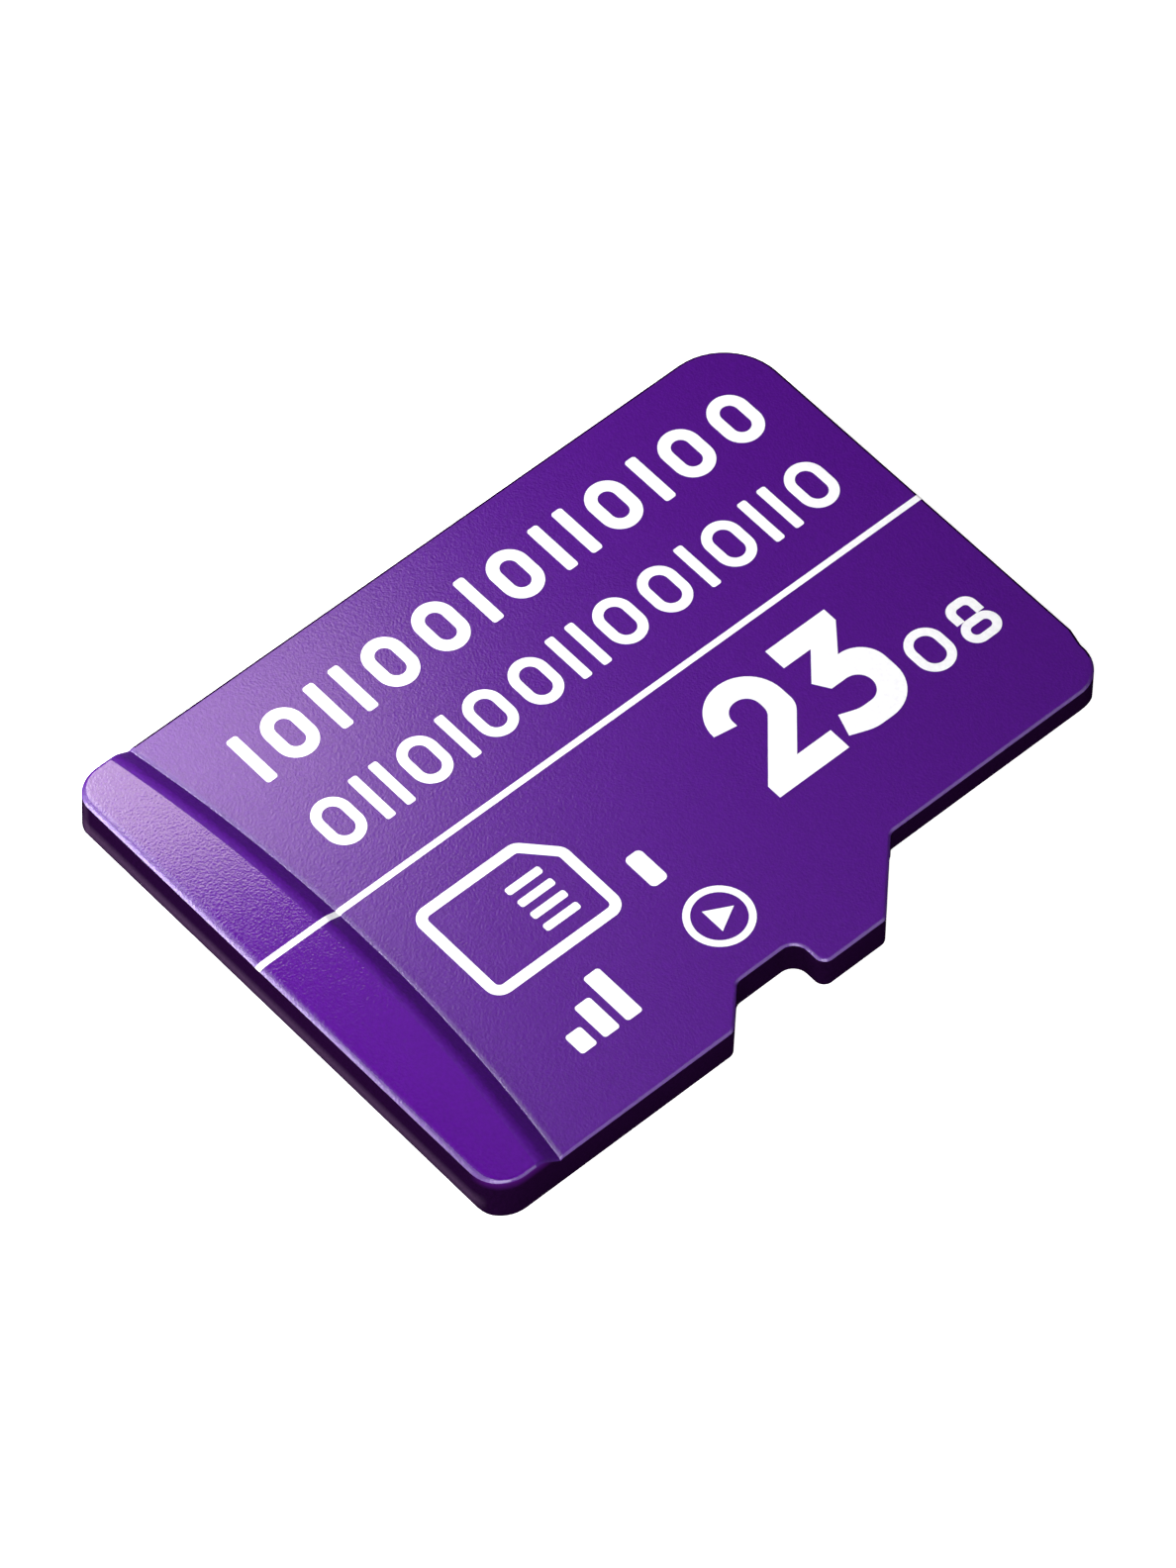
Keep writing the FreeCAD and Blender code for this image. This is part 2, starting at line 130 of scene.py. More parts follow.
def card_corners(rear, rear_round):
    """Corners of the plan outline, counter-clockwise from the rear left, each with its rounding."""
    notch = FRONT - NOTCH_PLACE
    notch_floor = RIGHT - NOTCH_DEPTH
    relief_line = FRONT - RELIEF_DEPTH
    relief_start = NARROW - NARROW_ROUND - RELIEF_FLAT
    return [
        (LEFT, rear, rear_round),
        (RIGHT, rear, rear_round),
        (RIGHT, notch - NOTCH_LENGTH - NOTCH_DEPTH, NOTCH_ROUND),
        (notch_floor, notch - NOTCH_LENGTH, NOTCH_ROUND),
        (notch_floor, notch, HEEL_ROUND),
        (RIGHT, notch, NOTCH_ROUND),
        (RIGHT, SHOULDER - NARROW_STEP, NOTCH_ROUND),
        (NARROW, SHOULDER, NOTCH_ROUND),
        (NARROW, relief_line, NARROW_ROUND),
        (relief_start, relief_line, 0),
        (relief_start - RELIEF_RUN, FRONT, 0),
        (LEFT, FRONT, FRONT_ROUND),
    ]


def rounded(corners):
    """A closed line through corners, each turned into an arc of its rounding."""
    line = []
    for index, (x, y, radius) in enumerate(corners):
        corner = Vector((x, y))
        if not radius:
            line.append(corner)
            continue
        before = (Vector(corners[index - 1][:2]) - corner).normalized()
        after = (Vector(corners[(index + 1) % len(corners)][:2]) - corner).normalized()
        half = before.angle(after) / 2
        centre = corner + (before + after).normalized() * (radius / math.sin(half))
        arm = corner + before * (radius / math.tan(half)) - centre
        turn = math.copysign(math.pi - 2 * half, after.cross(before))
        steps = math.ceil(abs(turn) / ARC_STEP)
        line += [centre + Matrix.Rotation(turn * k / steps, 2) @ arm for k in range(steps + 1)]
    return line


def rectangle(left, right, rear, front, radius):
    """A closed line round a rectangle with rounded corners."""
    corners = [(left, rear), (right, rear), (right, front), (left, front)]
    return rounded([(x, y, radius) for x, y in corners])


def inward(line):
    """At each point of a closed line, the step that moves it inwards by one along both its sides."""
    sides = []
    for here, there in closed_pairs(line):
        sides.append(Vector((here.y - there.y, there.x - here.x)).normalized())
    return [(a + b) / (1 + a.dot(b)) for a, b in zip(sides[-1:] + sides[:-1], sides)]


class Solid:
    """Points in millimetres and the faces between them."""

    def __init__(self):
        self.points = []
        self.faces = []

    def add(self, plan, height):
        self.points.append((plan.x, plan.y, height))
        return len(self.points) - 1

    def loop(self, line, height):
        return [self.add(point, height) for point in line]

    def wall(self, lower, upper):
        for (a, b), (c, d) in zip(closed_pairs(lower), closed_pairs(upper)):
            self.faces.append((a, b, d, c))

    def prism(self, line, low, high):
        lower = self.loop(line, low)
        upper = self.loop(line, high)
        self.wall(lower, upper)
        self.faces += [lower[::-1], upper]

    def band(self, outer, inner, low, high):
        """A flat ring between two closed lines of as many points."""
        sides = [(outer, low), (outer, high), (inner, high), (inner, low)]
        loops = [self.loop(line, height) for line, height in sides]
        for lower, upper in closed_pairs(loops):
            self.wall(lower, upper)

    def mesh(self, name, *materials):
        mesh = bpy.data.meshes.new(name)
        mesh.from_pydata([Vector(point) * MM for point in self.points], [], self.faces)
        for material in materials:
            mesh.materials.append(material)
        return mesh

    def piece(self, name, slot, *materials):
        return show(name, self.mesh(name, *materials))


def in_scene(name, data):
    """A new object in the scene."""
    item = bpy.data.objects.new(name, data)
    bpy.context.scene.collection.objects.link(item)
    return item


def show(name, mesh):
    """Makes a mesh a piece of the card, smooth within its sharp edges."""
    mesh.shade_smooth()
    mesh.set_sharp_from_angle(angle=SHARP_ANGLE)
    piece = in_scene(name, mesh)
    piece.modifiers.new("flat_faces", "WEIGHTED_NORMAL").keep_sharp = True
    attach(piece, "root")
    return piece


# Moulded body.
def lip_section():
    """Radius and height along the cut in front of the lip: rolled crest, straight slope, gutter."""
    crest = Vector((LIP_ARC - SLOPE_RUN, LIP_TOP - CREST_ROUND))
    foot = Vector((LIP_ARC, FACE_TOP - GUTTER_DEPTH))
    reach = foot - crest
    last = math.atan2(reach.y, reach.x) + math.acos(CREST_ROUND / reach.length)
    section = [(crest.x - HOLD, LIP_TOP)]
    for k in range(CREST_STEPS + 1):
        angle = mixed(math.pi / 2, last, k / CREST_STEPS)
        section.append((crest.x + CREST_ROUND * math.cos(angle), crest.y + CREST_ROUND * math.sin(angle)))
    edge = LIP_ARC + GUTTER_RUN
    return section + [tuple(foot), (edge, FACE_TOP), (edge + HOLD, FACE_TOP)]


SECTION = lip_section()
LIP_END = SECTION[0][0]
CREST_START = SECTION[1][0]


def on_sweep(x, radius):
    """The point of the lip's sweep at a radius from its axis."""
    return Vector((x, AXIS_Y + math.sqrt(radius ** 2 - x ** 2)))


def top_height(point):
    """Height of the moulding's upper side over a point of the plan, its rounded edges left out."""
    radius = math.hypot(point.x, point.y - AXIS_Y)
    if radius <= LIP_END:
        return LIP_TOP
    for (near, high), (far, low) in zip(SECTION, SECTION[1:]):
        if radius <= far:
            return mixed(high, low, (radius - near) / (far - near))
    return FACE_TOP


def rear_underside(y):
    """Height of the underside behind the board, rounded up into the rear wall."""
    run = max(0.0, REAR + REAR_ROUND - y)
    return REAR_ROUND - math.sqrt(max(0.0, REAR_ROUND ** 2 - run ** 2))


def body_stations():
    """Outline points with their inward steps, and with the sweep's radius where the slope meets a side."""
    line = rounded(card_corners(REAR, CORNER_ROUND))
    stations = []
    for here, there in closed_pairs(line):
        stations.append((here, None))
        if abs(here.x - there.x) < TINY:
            low, high = sorted((here.y, there.y))
            crossings = [(on_sweep(here.x, radius), radius) for radius, height in SECTION]
            met = [crossing for crossing in crossings if low < crossing[0].y < high]
            stations += met if here.y < there.y else met[::-1]
    steps = inward([point for point, radius in stations])
    return [(point, step, radius) for (point, radius), step in zip(stations, steps)]


def edge_roll(point, step):
    """Inset and drop of each step of the rolled edge at an outline point, from the wall to the flat."""
    lift = (top_height(point) - FACE_TOP) / (LIP_TOP - FACE_TOP)
    rear = max(0.0, step.y) ** ROLL_FADE if point.y < BOARD_REAR else 0.0
    draft = LEFT_DRAFT * max(0.0, lift) * max(0.0, step.x) ** DRAFT_FADE
    width = mixed(SIDE_ROLL, REAR_ROLL, rear)
    power = mixed(SIDE_POWER, REAR_POWER, rear)
    fall = math.tan(mixed(SIDE_TILT, REAR_TILT, rear)) * width / power
    shares = [1 - k / EDGE_STEPS for k in range(EDGE_STEPS + 1)]
    return [(draft + width * (1 - share), fall * share ** power) for share in shares]


def rolled_edge(solid, stations):
    """Loops over the rolled edge and a flat border, from the side wall inwards, and the last one's line."""
    rolls = []
    for point, step, radius in stations:
        roll = edge_roll(point, step)
        rolls.append(roll + [(roll[-1][0] + HOLD, 0.0)])
    loops = []
    for level in zip(*rolls):
        line = []
        loop = []
        for (point, step, radius), (inset, drop) in zip(stations, level):
            moved = point + step * inset
            if radius:
                moved = on_sweep(moved.x, radius)
            line.append(moved)
            loop.append(solid.add(moved, top_height(moved) - drop))
        loops.append(loop)
    return loops, line


def top_cap(solid, stations, rim, line):
    """Fills the rim of the rolled edge, with a row of points along each radius of the lip's section."""
    plan = list(line)
    edges = []
    for radius, height in SECTION:
        ends = [k for k, station in enumerate(stations) if station[2] == radius]
        first, last = sorted(ends, key=lambda k: line[k].x)
        span = line[last].x - line[first].x
        row = [first]
        for k in range(1, SWEEP_STEPS):
            row.append(len(plan))
            plan.append(on_sweep(line[first].x + span * k / SWEEP_STEPS, radius))
        row.append(last)
        edges += zip(row, row[1:])
    points, _, triangles, origins, _, _ = delaunay_2d_cdt(plan, edges, [list(range(len(line)))], 1, TINY)
    place = []
    for point, origin in zip(points, origins):
        on_rim = [k for k in origin if k < len(rim)]
        place.append(rim[on_rim[0]] if on_rim else solid.add(point, top_height(point)))
    solid.faces += [tuple(place[k] for k in triangle) for triangle in triangles]


def body_walls(solid, stations, top):
    """Side walls and underside: the moulding reaches the ground behind the board, and its top elsewhere."""
    ground = [k for k, (point, step, radius) in enumerate(stations) if point.y < BOARD_REAR + TINY]
    first, last = ground[0], ground[-1]
    feet = []
    for k, (point, step, radius) in enumerate(stations):
        feet.append(solid.add(point, rear_underside(point.y) if k in ground else BOARD_TOP))
    step_left = solid.add(stations[first][0], BOARD_TOP)
    step_right = solid.add(stations[last][0], BOARD_TOP)
    for here, there in closed_pairs(list(range(len(stations)))):
        face = [feet[here], feet[there], top[there], top[here]]
        if here == first:
            face.append(step_left)
        if there == last:
            face.insert(2, step_right)
        if here == last:
            face[0] = step_right
        if there == first:
            face[1] = step_left
        solid.faces.append(face)
    solid.faces.append([feet[first], step_left, step_right, feet[last]])
    solid.faces.append([step_left] + feet[:last:-1] + [step_right])
    for k in range(len(ground) // 2 - 1):
        solid.faces.append([feet[first + k], feet[last - k], feet[last - k - 1], feet[first + k + 1]])


def painted_shade_rim(polygon):
    """Whether a face of the rolled edge gets the dark wall resin as painted shade: on the left and in front.
    """
    side = polygon.normal.xy.normalized()
    before_lip = polygon.center.y / MM > REAR + LIP_DEPTH
    at_front = polygon.center.y > 0 and side.y > SHADE_RIM_FRONT
    tilted = polygon.normal.z < math.cos(SHADE_RIM_TILT)
    return before_lip and tilted and (side.x < SHADE_RIM_LEFT or at_front)


def moulded_body(face_finish, wall_finish, slope_finish):
    finishes = [face_finish, wall_finish, slope_finish]
    solid = Solid()
    stations = body_stations()
    loops, line = rolled_edge(solid, stations)
    for lower, upper in zip(loops, loops[1:]):
        solid.wall(lower, upper)
    rolled = len(solid.faces)
    top_cap(solid, stations, loops[-1], line)
    lacquered = len(solid.faces)
    body_walls(solid, stations, loops[0])
    body = solid.piece("body_shell", "moulding", *finishes)
    for polygon in body.data.polygons:
        radius = math.hypot(polygon.center.x / MM, polygon.center.y / MM - AXIS_Y)
        # Walls take the resin; so do the tilted rim faces on the left and in front, where the dark resin is
        # painted shade.
        if polygon.index >= lacquered or (polygon.index < rolled and painted_shade_rim(polygon)):
            polygon.material_index = finishes.index(wall_finish)
        elif CREST_START < radius < LIP_ARC:
            polygon.material_index = finishes.index(slope_finish)
    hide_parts("moulded_body")


# Board and contacts. A face counts as flat where its normal's upright part is over FLAT.
LEAD_CHAMFER = 0.17
CONTACT_COUNT = 8
CONTACT_ROUND = 0.12
CONTACT_RECESS = 0.02
FLAT = 0.5


def wedge(corners, start, end):
    """A three-cornered bar from start to end, its section's corners given as offsets from both."""
    solid = Solid()
    ends = []
    for middle in (start, end):
        ends.append([solid.add(middle + Vector(offset[:2]), offset[2]) for offset in corners])
    solid.wall(*ends)
    solid.faces += [ends[0][::-1], ends[1]]
    return solid


def lead_wedges():
    """Bars that take the chamfer off the front edge and the narrowed side, standing out past both."""
    c = LEAD_CHAMFER
    front = [(0, -2 * c, -c), (0, c, -c), (0, c, 2 * c)]
    side = [(-2 * c, 0, -c), (c, 0, 2 * c), (c, 0, -c)]
    return [
        wedge(front, Vector((LEFT - c, FRONT)), Vector((RIGHT + c, FRONT))),
        wedge(side, Vector((NARROW, SHOULDER)), Vector((NARROW, FRONT + c))),
    ]


def contact_line(index):
    """Outline of a contact, and its lower and upper height."""
    low, high = node_box("contact_%d" % index)
    return rectangle(low.x, high.x, low.y, high.y, CONTACT_ROUND), low.z, high.z


def contact_beds():
    """The room that the contacts take in the board, open to below."""
    beds = Solid()
    for index in range(1, CONTACT_COUNT + 1):
        line, low, high = contact_line(index)
        beds.prism(line, -CONTACT_RECESS, high)
    return beds


def cut_away(mesh, solids):
    """The mesh with the solids taken out of it."""
    base = in_scene("uncut", mesh)
    tools = [in_scene("cutter", solid.mesh("cutter")) for solid in solids]
    for tool in tools:
        cut = base.modifiers.new("cut", "BOOLEAN")
        cut.operation = "DIFFERENCE"
        cut.solver = "EXACT"
        cut.object = tool
    graph = bpy.context.evaluated_depsgraph_get()
    result = bpy.data.meshes.new_from_object(base.evaluated_get(graph))
    for item in tools + [base]:
        bpy.data.objects.remove(item)
    return result


def substrate_board(finish, edge_finish):
    solid = Solid()
    solid.prism(rounded(card_corners(BOARD_REAR, 0)), 0.0, BOARD_TOP)
    mesh = solid.mesh("board", finish, edge_finish)
    for polygon in mesh.polygons:
        polygon.material_index = 0 if abs(polygon.normal.z) > FLAT else 1
    mesh = cut_away(mesh, lead_wedges() + [contact_beds()])
    board = show("board_laminate", mesh)
    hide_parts("substrate_board")


def contacts(finish):
    for index in range(1, CONTACT_COUNT + 1):
        line, low, high = contact_line(index)
        solid = Solid()
        solid.prism(line, low, high)
        plate = solid.piece("contact_plate_%d" % index, "contact_plating", finish)
        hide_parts("contact_%d" % index)


# Print on the face. It reads along the card, with its upper side towards the left.
INK = 0.006
INK_SINK = 0.004
STRIPE_MIDDLE = -0.62
STRIPE_WIDTH = 0.12
STRIPE_LEAN = 0.45

# Rows of digits, each its base line, height, line width and digits.
ROW_START = -4.8
ROW_END = 6.65
ZERO_SHAPE = 0.72
ONE_ROUND = 0.25
HEAD_ROW = -3.4, 1.12, 0.23, "10110010110100"
SUB_ROW = -1.5, 1.06, 0.19, "0110100110010110"

# Marks drawn as outlines, each corner its place along and up from the mark's start, and its rounding.
NUMERAL_PLACE = 1.39, 2.5
NUMERAL_PITCH = 1.78
THREE = [
    (1.46, 2.42, 0), (0.12, 2.42, 0), (0.12, 1.95, 0), (0.73, 1.95, 0), (0.25, 1.4, 0), (0.44, 1.1, 0),
    (1.08, 1.1, 0.31), (1.08, 0.48, 0.31), (0.52, 0.48, 0.5), (0.15, 0.62, 0), (0, 0.18, 0),
    (0.45, 0, 0.8), (1.58, 0, 0.74), (1.58, 1.56, 0.56), (1.0, 1.56, 0), (1.46, 2.12, 0),
]
TWO = [
    (0.05, 0, 0), (1.62, 0, 0), (1.62, 0.47, 0), (0.86, 0.47, 0), (1.58, 1.28, 0.4), (1.58, 2.42, 0.76),
    (0.05, 2.42, 0.76), (0.05, 1.66, 0), (0.5, 1.58, 0), (0.5, 1.97, 0.29), (1.1, 1.97, 0.29),
    (1.1, 1.47, 0.3), (0.05, 0.3, 0),
]
SMALL_PLACE = 5.03, 2.39
SMALL_PITCH = 0.98
SMALL_HEIGHT = 0.98
SMALL_WIDTH = 0.76
SMALL_WAIST = 0.54
SMALL_NECK = 0.07
SMALL_LINE = 0.17
ARCH_ROUND = 0.238
ARCH_INNER_ROUND = 0.085
SIGN_PLACE = -4.83, 2.48
SIGN_LINE = 0.2
SIGN_CARD = [(0, 0, 0.3), (2.9, 0, 0.3), (2.9, 1.6, 0.3), (2.3, 2.25, 0.3), (0, 2.25, 0.3)]
SIGN_BARS = 4
SIGN_BAR_PITCH = 0.32
SIGN_BAR_START = 0.5
SIGN_BAR_SPAN = 1.55, 2.3
SIGN_BAR_LINE = 0.16
SIGN_BAR_ROUND = 0.05
DASH_SPAN = 3.45, 3.8
DASH_HEIGHT = 0.76
DASH_ROUND = 0.1
RING_PLACE = -0.94, 3.63
RING_OUTER = 0.62
RING_LINE = 0.13
RING_ARROW = [(-0.16, -0.26, 0), (0.32, 0, 0), (-0.16, 0.26, 0)]
LEVEL_PLACE = -4.48, 4.2
LEVEL_BARS = 3
LEVEL_PITCH = 0.5
LEVEL_WIDTH = 0.34
LEVEL_FIRST = 0.45
LEVEL_RISE = 0.34
LEVEL_ROUND = 0.06


def on_face(line, place):
    """A line drawn along and up, moved to where its start and base line lie on the face."""
    start, base = place
    return [Vector((base - point.y, start + point.x)) for point in line]


def ink_plate(solid, line, place):
    solid.prism(on_face(line, place), FACE_TOP - INK_SINK, FACE_TOP + INK)


def ink_ring(solid, outer, inner, place):
    solid.band(on_face(outer, place), on_face(inner, place), FACE_TOP - INK_SINK, FACE_TOP + INK)


def nought(solid, width, height, line, place):
    """A ring of ink that is as round as its width and height allow."""
    outer_round = min(width, height) / 2 - TINY
    outer = rectangle(0, width, 0, height, outer_round)
    inner = rectangle(line, width - line, line, height - line, outer_round - line)
    ink_ring(solid, outer, inner, place)


def bit_row(name, finish, base, height, line, bits):
    """A row of plain zeros and ones, spread evenly over the length of the print."""
    solid = Solid()
    widths = [line if bit == "1" else height * ZERO_SHAPE for bit in bits]
    gap = (ROW_END - ROW_START - sum(widths)) / (len(bits) - 1)
    start = ROW_START
    for width in widths:
        if width == line:
            ink_plate(solid, rectangle(0, line, 0, height, line * ONE_ROUND), (start, base))
        else:
            nought(solid, width, height, line, (start, base))
        start += width + gap
    solid.piece(name, "moulding", finish)


def numeral(finish):
    solid = Solid()
    start, base = NUMERAL_PLACE
    for number, outline in enumerate((TWO, THREE)):
        ink_plate(solid, rounded(outline), (start + number * NUMERAL_PITCH, base))
    solid.piece("print_numeral", "moulding", finish)


def small_numeral(finish):
    """A plain nought and eight, the eight a ring with an open arch on it."""
    solid = Solid()
    start, base = SMALL_PLACE
    eight_place = (start + SMALL_PITCH, base)
    line = SMALL_LINE
    nought(solid, SMALL_WIDTH, SMALL_HEIGHT, line, SMALL_PLACE)
    nought(solid, SMALL_WIDTH, SMALL_WAIST, line, eight_place)
    left, right = SMALL_NECK, SMALL_WIDTH - SMALL_NECK
    foot, top = SMALL_WAIST, SMALL_HEIGHT
    arch = [
        (left, foot, 0),
        (left + line, foot, 0),
        (left + line, top - line, ARCH_INNER_ROUND),
        (right - line, top - line, ARCH_INNER_ROUND),
        (right - line, foot, 0),
        (right, foot, 0),
        (right, top, ARCH_ROUND),
        (left, top, ARCH_ROUND),
    ]
    ink_plate(solid, rounded(arch), eight_place)
    solid.piece("print_small_numeral", "moulding", finish)


def card_sign(finish):
    """Outline of a card with a clipped corner and short bars for its contacts, and a dash beside it."""
    solid = Solid()
    outer = rounded(SIGN_CARD)
    inner = [point + step * SIGN_LINE for point, step in zip(outer, inward(outer))]
    ink_ring(solid, outer, inner, SIGN_PLACE)
    for number in range(SIGN_BARS):
        low = SIGN_BAR_START + number * SIGN_BAR_PITCH
        bar = rectangle(*SIGN_BAR_SPAN, low, low + SIGN_BAR_LINE, SIGN_BAR_ROUND)
        ink_plate(solid, bar, SIGN_PLACE)
    ink_plate(solid, rectangle(*DASH_SPAN, 0, DASH_HEIGHT, DASH_ROUND), SIGN_PLACE)
    solid.piece("print_card_sign", "moulding", finish)


def ring_sign(finish):
    """A ring round an arrow that points the way the card goes in."""
    solid = Solid()
    start, base = RING_PLACE
    corner = (start - RING_OUTER, base + RING_OUTER)
    nought(solid, 2 * RING_OUTER, 2 * RING_OUTER, RING_LINE, corner)
    ink_plate(solid, rounded(RING_ARROW), RING_PLACE)
    solid.piece("print_ring_sign", "moulding", finish)


def level_bars(finish):
    """Bars that rise one after the other."""
    solid = Solid()
    for number in range(LEVEL_BARS):
        start = number * LEVEL_PITCH
        height = LEVEL_FIRST + LEVEL_RISE * number
        ink_plate(solid, rectangle(start, start + LEVEL_WIDTH, 0, height, LEVEL_ROUND), LEVEL_PLACE)
    solid.piece("print_level_bars", "moulding", finish)


def stripe_sides(height):
    """Left and right side of the dividing line, which leans a little as it climbs the lip."""
    middle = STRIPE_MIDDLE + STRIPE_LEAN * max(0.0, height - FACE_TOP)
    return middle - STRIPE_WIDTH / 2, middle + STRIPE_WIDTH / 2


def stripe(finish):
    """The dividing line, which runs from edge to edge over the lip and its slope."""
    rows = []
    for inset, drop in edge_roll(Vector((STRIPE_MIDDLE, REAR)), Vector((0.0, 1.0))):
        rows.append([(Vector((x, REAR + inset)), LIP_TOP - drop) for x in stripe_sides(LIP_TOP)])
    for radius, height in SECTION:
        rows.append([(on_sweep(x, radius), height) for x in stripe_sides(height)])
    for inset, drop in edge_roll(Vector((STRIPE_MIDDLE, FRONT)), Vector((0.0, -1.0)))[::-1]:
        rows.append([(Vector((x, FRONT - inset)), FACE_TOP - drop) for x in stripe_sides(FACE_TOP)])
    solid = Solid()
    loops = []
    for (left, height), (right, _) in rows:
        low, high = height - INK_SINK, height + INK
        corners = [(left, low), (left, high), (right, high), (right, low)]
        loops.append([solid.add(point, level) for point, level in corners])
    for near, far in zip(loops, loops[1:]):
        solid.wall(near, far)
    solid.faces += [loops[0][::-1], loops[-1]]
    solid.piece("print_stripe", "moulding", finish)


# Finishes. The values of a noise mostly lie within its spread.
SPREAD = 0.3, 0.7
WIDE_SPREAD = 0.25, 0.75
FINE_DETAIL = 4.0
TONE_DETAIL = 3.0
PLAIN_DETAIL = 2.0
SOFT_RELIEF = 0.5
FULL_RELIEF = 1.0
FINER = 3


def new_finish(name):
    material = bpy.data.materials.new(name)
    material.use_nodes = True
    return material, material.node_tree, material.node_tree.nodes["Principled BSDF"]


def add_node(tree, kind, **inputs):
    """A node with some of its inputs set; an input given as an output socket is linked."""
    node = tree.nodes.new(kind)
    for name, value in inputs.items():
        socket = node.inputs[name.replace("_", " ")]
        if isinstance(value, bpy.types.NodeSocket):
            tree.links.new(value, socket)
        else:
            socket.default_value = value
    return node


def card_place(tree):
    """The place on the card, in metres."""
    return add_node(tree, "ShaderNodeTexCoord").outputs["Object"]


def coordinates(tree):
    """The coordinates of the place on the card, by their letters."""
    return add_node(tree, "ShaderNodeSeparateXYZ", Vector=card_place(tree)).outputs


def grain(tree, size, detail=PLAIN_DETAIL):
    """Noise over the card with grains of a size in millimetres."""
    place = card_place(tree)
    noise = add_node(tree, "ShaderNodeTexNoise", Vector=place, Scale=1 / (size * MM), Detail=detail)
    return noise.outputs["Fac"]


def shades(tree, factor, *stops):
    """A run of colours over a factor, each stop its place and its linear colour."""
    node = add_node(tree, "ShaderNodeValToRGB", Fac=factor)
    ramp = node.color_ramp
    while len(ramp.elements) < len(stops):
        ramp.elements.new(0.5)
    for element, (place, colour) in zip(ramp.elements, stops):
        element.position = place
        element.color = (*colour, 1.0)
    return node.outputs["Color"]


def speckle(tree, noise, dark, light, spread=SPREAD):
    """Colour between a dark and a light tone, by a noise."""
    return shades(tree, noise, (spread[0], dark), (spread[1], light))


def greys(tree, factor, stops):
    """A level over a factor, each stop its place and its level."""
    return shades(tree, factor, *[(place, (level, level, level)) for place, level in stops])


def mapped(tree, value, start, end, low, high):
    """Maps the values from start to end to the range from low to high."""
    node = add_node(tree, "ShaderNodeMapRange", Value=value, To_Min=low, To_Max=high)
    node.inputs["From Min"].default_value = start
    node.inputs["From Max"].default_value = end
    return node.outputs["Result"]


def between(tree, noise, low, high):
    """Maps a noise to a range."""
    return mapped(tree, noise, *SPREAD, low, high)


def ranged(tree, value, start, end, low, high):
    """Maps a coordinate between two places in millimetres to a range."""
    return mapped(tree, value, start * MM, end * MM, low, high)


def total(tree, first, second):
    """The sum of two values."""
    node = add_node(tree, "ShaderNodeMath")
    tree.links.new(first, node.inputs[0])
    tree.links.new(second, node.inputs[1])
    return node.outputs["Value"]


def part_of(tree, share, value):
    """A share of a value."""
    return add_node(tree, "ShaderNodeMix", Factor=share, A=0.0, B=value).outputs["Result"]


def tinted(tree, share, below, above):
    """A colour covered by another to a share."""
    return add_node(tree, "ShaderNodeMixRGB", Fac=share, Color1=below, Color2=above).outputs["Color"]


def dress(tree, shader, colour, rough):
    tree.links.new(colour, shader.inputs["Base Color"])
    tree.links.new(rough, shader.inputs["Roughness"])


def relief(tree, shader, height, depth, strength):
    """Bump of a depth in millimetres."""
    bump = add_node(tree, "ShaderNodeBump", Height=height, Distance=depth * MM, Strength=strength)
    tree.links.new(bump.outputs["Normal"], shader.inputs["Normal"])


def plain_finish(name, size, dark, light, rough, depth, metallic=0.0):
    """A finish whose colour and gloss follow one grain, and its relief a finer one."""
    material, tree, shader = new_finish(name)
    noise = grain(tree, size, FINE_DETAIL)
    dress(tree, shader, speckle(tree, noise, dark, light), between(tree, noise, *rough))
    shader.inputs["Metallic"].default_value = metallic
    relief(tree, shader, grain(tree, size / FINER), depth, SOFT_RELIEF)
    return material


FACE_DARK = (0.058, 0.0021, 0.17)
FACE_LIGHT = (0.071, 0.0026, 0.21)
FACE_TONE_GRAIN = 0.06
FACE_GRAIN = 0.042
FACE_DEPTH = 0.0075
FACE_ROUGH = 0.325
LIP_ROUGH = 0.11
LIP_RELIEF = 0.65
LIP_BLEND = 0.012
LACQUER_SPECKLE = 0.03
GLOSS_GRAIN = 0.05


def face_lacquer():
    """Purple satin lacquer with a fine grain, smoother on the lip."""
    material, tree, shader = new_finish("face_lacquer")
    noise = grain(tree, FACE_TONE_GRAIN, TONE_DETAIL)
    colour = speckle(tree, noise, FACE_DARK, FACE_LIGHT, WIDE_SPREAD)
    height = coordinates(tree)["Z"]
    gloss = ranged(tree, height, LIP_TOP - LIP_BLEND, LIP_TOP, FACE_ROUGH, LIP_ROUGH)
    uneven = between(tree, grain(tree, GLOSS_GRAIN), -LACQUER_SPECKLE, LACQUER_SPECKLE)
    dress(tree, shader, colour, total(tree, gloss, uneven))
    strength = ranged(tree, height, LIP_TOP - LIP_BLEND, LIP_TOP, FULL_RELIEF, LIP_RELIEF)
    relief(tree, shader, grain(tree, FACE_GRAIN), FACE_DEPTH, strength)
    return material


# Slope tones: the lacquer's own grainy tone, darkened by painted shade below the face's tones.
SLOPE_SHADED_DARK = (0.046, 0.0016, 0.142)
SLOPE_SHADED_LIGHT = (0.063, 0.0025, 0.195)
SLOPE_TONE_GRAIN = 0.07
SLOPE_GRAIN = 0.06
SLOPE_DEPTH = 0.006
SLOPE_ROUGH = 0.48, 0.62
SLOPE_SHINE = 0.08


def slope_lacquer():
    """The same lacquer on the coarser face of the slope, which hardly shines; its colour is darkened below
    the face's by painted shade.
    """
    material, tree, shader = new_finish("slope_lacquer")
    colour = speckle(tree, grain(tree, SLOPE_TONE_GRAIN, TONE_DETAIL), SLOPE_SHADED_DARK, SLOPE_SHADED_LIGHT)
    dress(tree, shader, colour, between(tree, grain(tree, GLOSS_GRAIN), *SLOPE_ROUGH))
    shader.inputs["Specular IOR Level"].default_value = SLOPE_SHINE
    relief(tree, shader, grain(tree, SLOPE_GRAIN), SLOPE_DEPTH, FULL_RELIEF)
    return material


